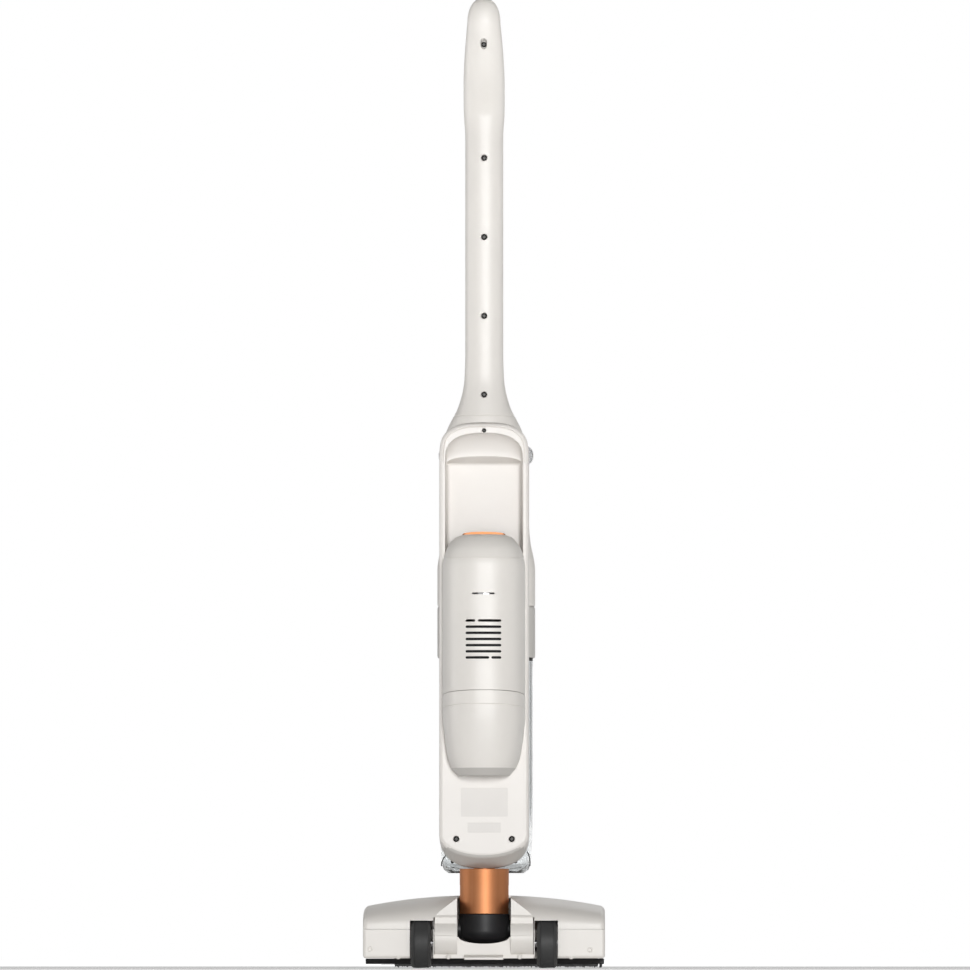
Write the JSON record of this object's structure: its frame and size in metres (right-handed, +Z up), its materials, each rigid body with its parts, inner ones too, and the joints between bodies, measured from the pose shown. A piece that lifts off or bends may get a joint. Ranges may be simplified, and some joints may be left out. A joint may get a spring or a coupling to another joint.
{
  "type": "wet dry floor scrubber",
  "caption": "Upright cordless floor washer: slim pole with bent grip, capsule body with rear motor pod and front water tanks, swivel neck, and a roller head with rear wheels.",
  "frame": {"origin": "middle of the bounding box, on the floor", "axes": "+Z up; +Y is the front, where the roller and the tanks are; -Y is the user's side; +X is the user's right"},
  "size_m": [0.274, 0.2484, 1.1],
  "materials": {
    "shell_white": "warm white moulded plastic, satin gloss",
    "shell_grey": "light grey moulded plastic",
    "copper": "copper-coloured metallic paint",
    "black_plastic": "black moulded plastic",
    "rubber": "matte black rubber",
    "clear_tank": "clear moulded plastic",
    "gloss_black": "glossy black display cover",
    "steel": "steel",
    "black_oxide": "blackened screws",
    "carbon_foam": "black filter foam",
    "pile": "grey microfibre pile",
    "filter": "white filter fibre",
    "board": "green circuit board",
    "cell_blue": "blue shrink sleeve"
  },
  "bodies": {
    "head": {"head_chassis": "shell_white", "head_top_shell": "shell_white", "neck_yoke": "shell_white", "pitch_pin_left": "steel", "pitch_pin_right": "steel", "wheel_axle_left": "steel", "wheel_axle_right": "steel", "brush_motor": "steel", "drive_belt": "rubber", "squeegee_holder": "black_plastic", "squeegee_blade": "rubber", "intake_duct": "shell_grey", "water_pump": "black_plastic"},
    "cover": {"roller_cover": "shell_white"},
    "cover_latch_left_body": {"cover_latch_left": "shell_grey"},
    "cover_latch_right_body": {"cover_latch_right": "shell_grey"},
    "roller_carrier": {"roller_end_cap": "black_plastic"},
    "roller": {"roller_core": "shell_grey", "roller_sleeve": "pile"},
    "hub": {"drive_hub": "black_plastic"},
    "pinion": {"motor_pinion": "black_plastic"},
    "wheel_left_body": {"wheel_left": "rubber"},
    "wheel_right_body": {"wheel_right": "rubber"},
    "knuckle_body": {"knuckle": "black_plastic"},
    "upright": {"neck_tube": "copper", "body_frame": "shell_white", "front_spine": "shell_grey", "main_board": "board", "suction_duct": "shell_grey", "pole_rear_shell": "shell_white", "pole_front_shell": "shell_white", "display_housing": "gloss_black", "display_lens": "gloss_black", "pole_screw_1": "black_oxide", "pole_screw_2": "black_oxide", "pole_screw_3": "black_oxide", "pole_screw_4": "black_oxide", "grip_screw": "black_oxide", "rim_screw": "black_oxide", "panel_screw_left": "black_oxide", "panel_screw_right": "black_oxide"},
    "power_button_body": {"power_button": "shell_grey"},
    "mode_button_body": {"mode_button": "shell_grey"},
    "pod": {"pod_upper_shell": "shell_white", "pod_lower_shell": "shell_white", "pod_back_plate": "shell_grey", "suction_motor": "steel", "exhaust_filter": "carbon_foam", "battery_pack": "cell_blue"},
    "pod_release_body": {"pod_release": "copper"},
    "fan": {"impeller": "shell_grey"},
    "dirty_tank": {"dirty_water_tank": "clear_tank", "tank_gasket": "rubber", "tank_riser": "clear_tank", "tank_lid": "shell_grey", "dry_filter": "filter"},
    "tank_latch_body": {"tank_latch": "shell_white"},
    "float": {"float_ball": "rubber"},
    "clean_tank": {"clean_water_tank": "shell_white"},
    "filler_cap_body": {"filler_cap": "copper"}
  },
  "joints": [
    {"name": "cover_lift", "type": "slide", "parent": "head", "child": "cover", "axis": [0, 0, 1], "range_m": [0, 0.022]},
    {"name": "cover_latch_left_press", "type": "slide", "parent": "head", "child": "cover_latch_left_body", "axis": [0, 0, -1], "range_m": [0, 0.0015], "stiffness_N_per_m": 400},
    {"name": "cover_latch_right_press", "type": "slide", "parent": "head", "child": "cover_latch_right_body", "axis": [0, 0, -1], "range_m": [0, 0.0015], "stiffness_N_per_m": 400},
    {"name": "roller_pull_out", "type": "slide", "parent": "head", "child": "roller_carrier", "axis": [1, 0, 0], "range_m": [0, 0.245]},
    {"name": "roller_spin", "type": "hinge", "parent": "roller_carrier", "child": "roller", "pos_m": [0, 0.08615, 0.0335], "axis": [1, 0, 0], "continuous": true},
    {"name": "hub_spin", "type": "hinge", "parent": "head", "child": "hub", "pos_m": [0, 0.08615, 0.0335], "axis": [1, 0, 0], "continuous": true},
    {"name": "pinion_spin", "type": "hinge", "parent": "head", "child": "pinion", "pos_m": [0, 0.02015, 0.0305], "axis": [1, 0, 0], "continuous": true},
    {"name": "wheel_left_spin", "type": "hinge", "parent": "head", "child": "wheel_left_body", "pos_m": [-0.0714, -0.05585, 0.028], "axis": [1, 0, 0], "continuous": true},
    {"name": "wheel_right_spin", "type": "hinge", "parent": "head", "child": "wheel_right_body", "pos_m": [0.0714, -0.05585, 0.028], "axis": [1, 0, 0], "continuous": true},
    {"name": "neck_pitch", "type": "hinge", "parent": "head", "child": "knuckle_body", "pos_m": [0, -0.02585, 0.044], "axis": [1, 0, 0], "range_deg": [0, 68]},
    {"name": "neck_steer", "type": "hinge", "parent": "knuckle_body", "child": "upright", "pos_m": [0, -0.02585, 0.061], "axis": [0, 0, 1], "range_deg": [-45, 45]},
    {"name": "power_button_press", "type": "slide", "parent": "upright", "child": "power_button_body", "axis": [0, -1, 0], "range_m": [0, 0.001], "stiffness_N_per_m": 400},
    {"name": "mode_button_press", "type": "slide", "parent": "upright", "child": "mode_button_body", "axis": [0, -1, 0], "range_m": [0, 0.001], "stiffness_N_per_m": 400},
    {"name": "pod_removal", "type": "slide", "parent": "upright", "child": "pod", "axis": [0, -1, 0], "range_m": [0, 0.07]},
    {"name": "pod_release_press", "type": "slide", "parent": "pod", "child": "pod_release_body", "axis": [0, 1, 0], "range_m": [0, 0.003], "stiffness_N_per_m": 400},
    {"name": "impeller_spin", "type": "hinge", "parent": "pod", "child": "fan", "pos_m": [0, -0.09185, 0.45], "axis": [0, 0, 1], "continuous": true},
    {"name": "dirty_tank_removal", "type": "slide", "parent": "upright", "child": "dirty_tank", "axis": [0, 1, 0], "range_m": [0, 0.12]},
    {"name": "tank_latch_press", "type": "slide", "parent": "dirty_tank", "child": "tank_latch_body", "axis": [0, -1, 0], "range_m": [0, 0.002], "stiffness_N_per_m": 400},
    {"name": "float_rise", "type": "slide", "parent": "dirty_tank", "child": "float", "axis": [0, 0, 1], "range_m": [0, 0.02]},
    {"name": "clean_tank_removal", "type": "slide", "parent": "upright", "child": "clean_tank", "axis": [0, 1, 0], "range_m": [0, 0.12]},
    {"name": "filler_cap_turn", "type": "hinge", "parent": "clean_tank", "child": "filler_cap_body", "pos_m": [0, 0.03815, 0.56], "axis": [0, 0, 1], "range_deg": [0, 90]}
  ],
  "couplings": [
    {"joint": "hub_spin", "follows": "roller_spin", "ratio": 1},
    {"joint": "pinion_spin", "follows": "roller_spin", "ratio": 2.415}
  ]
}
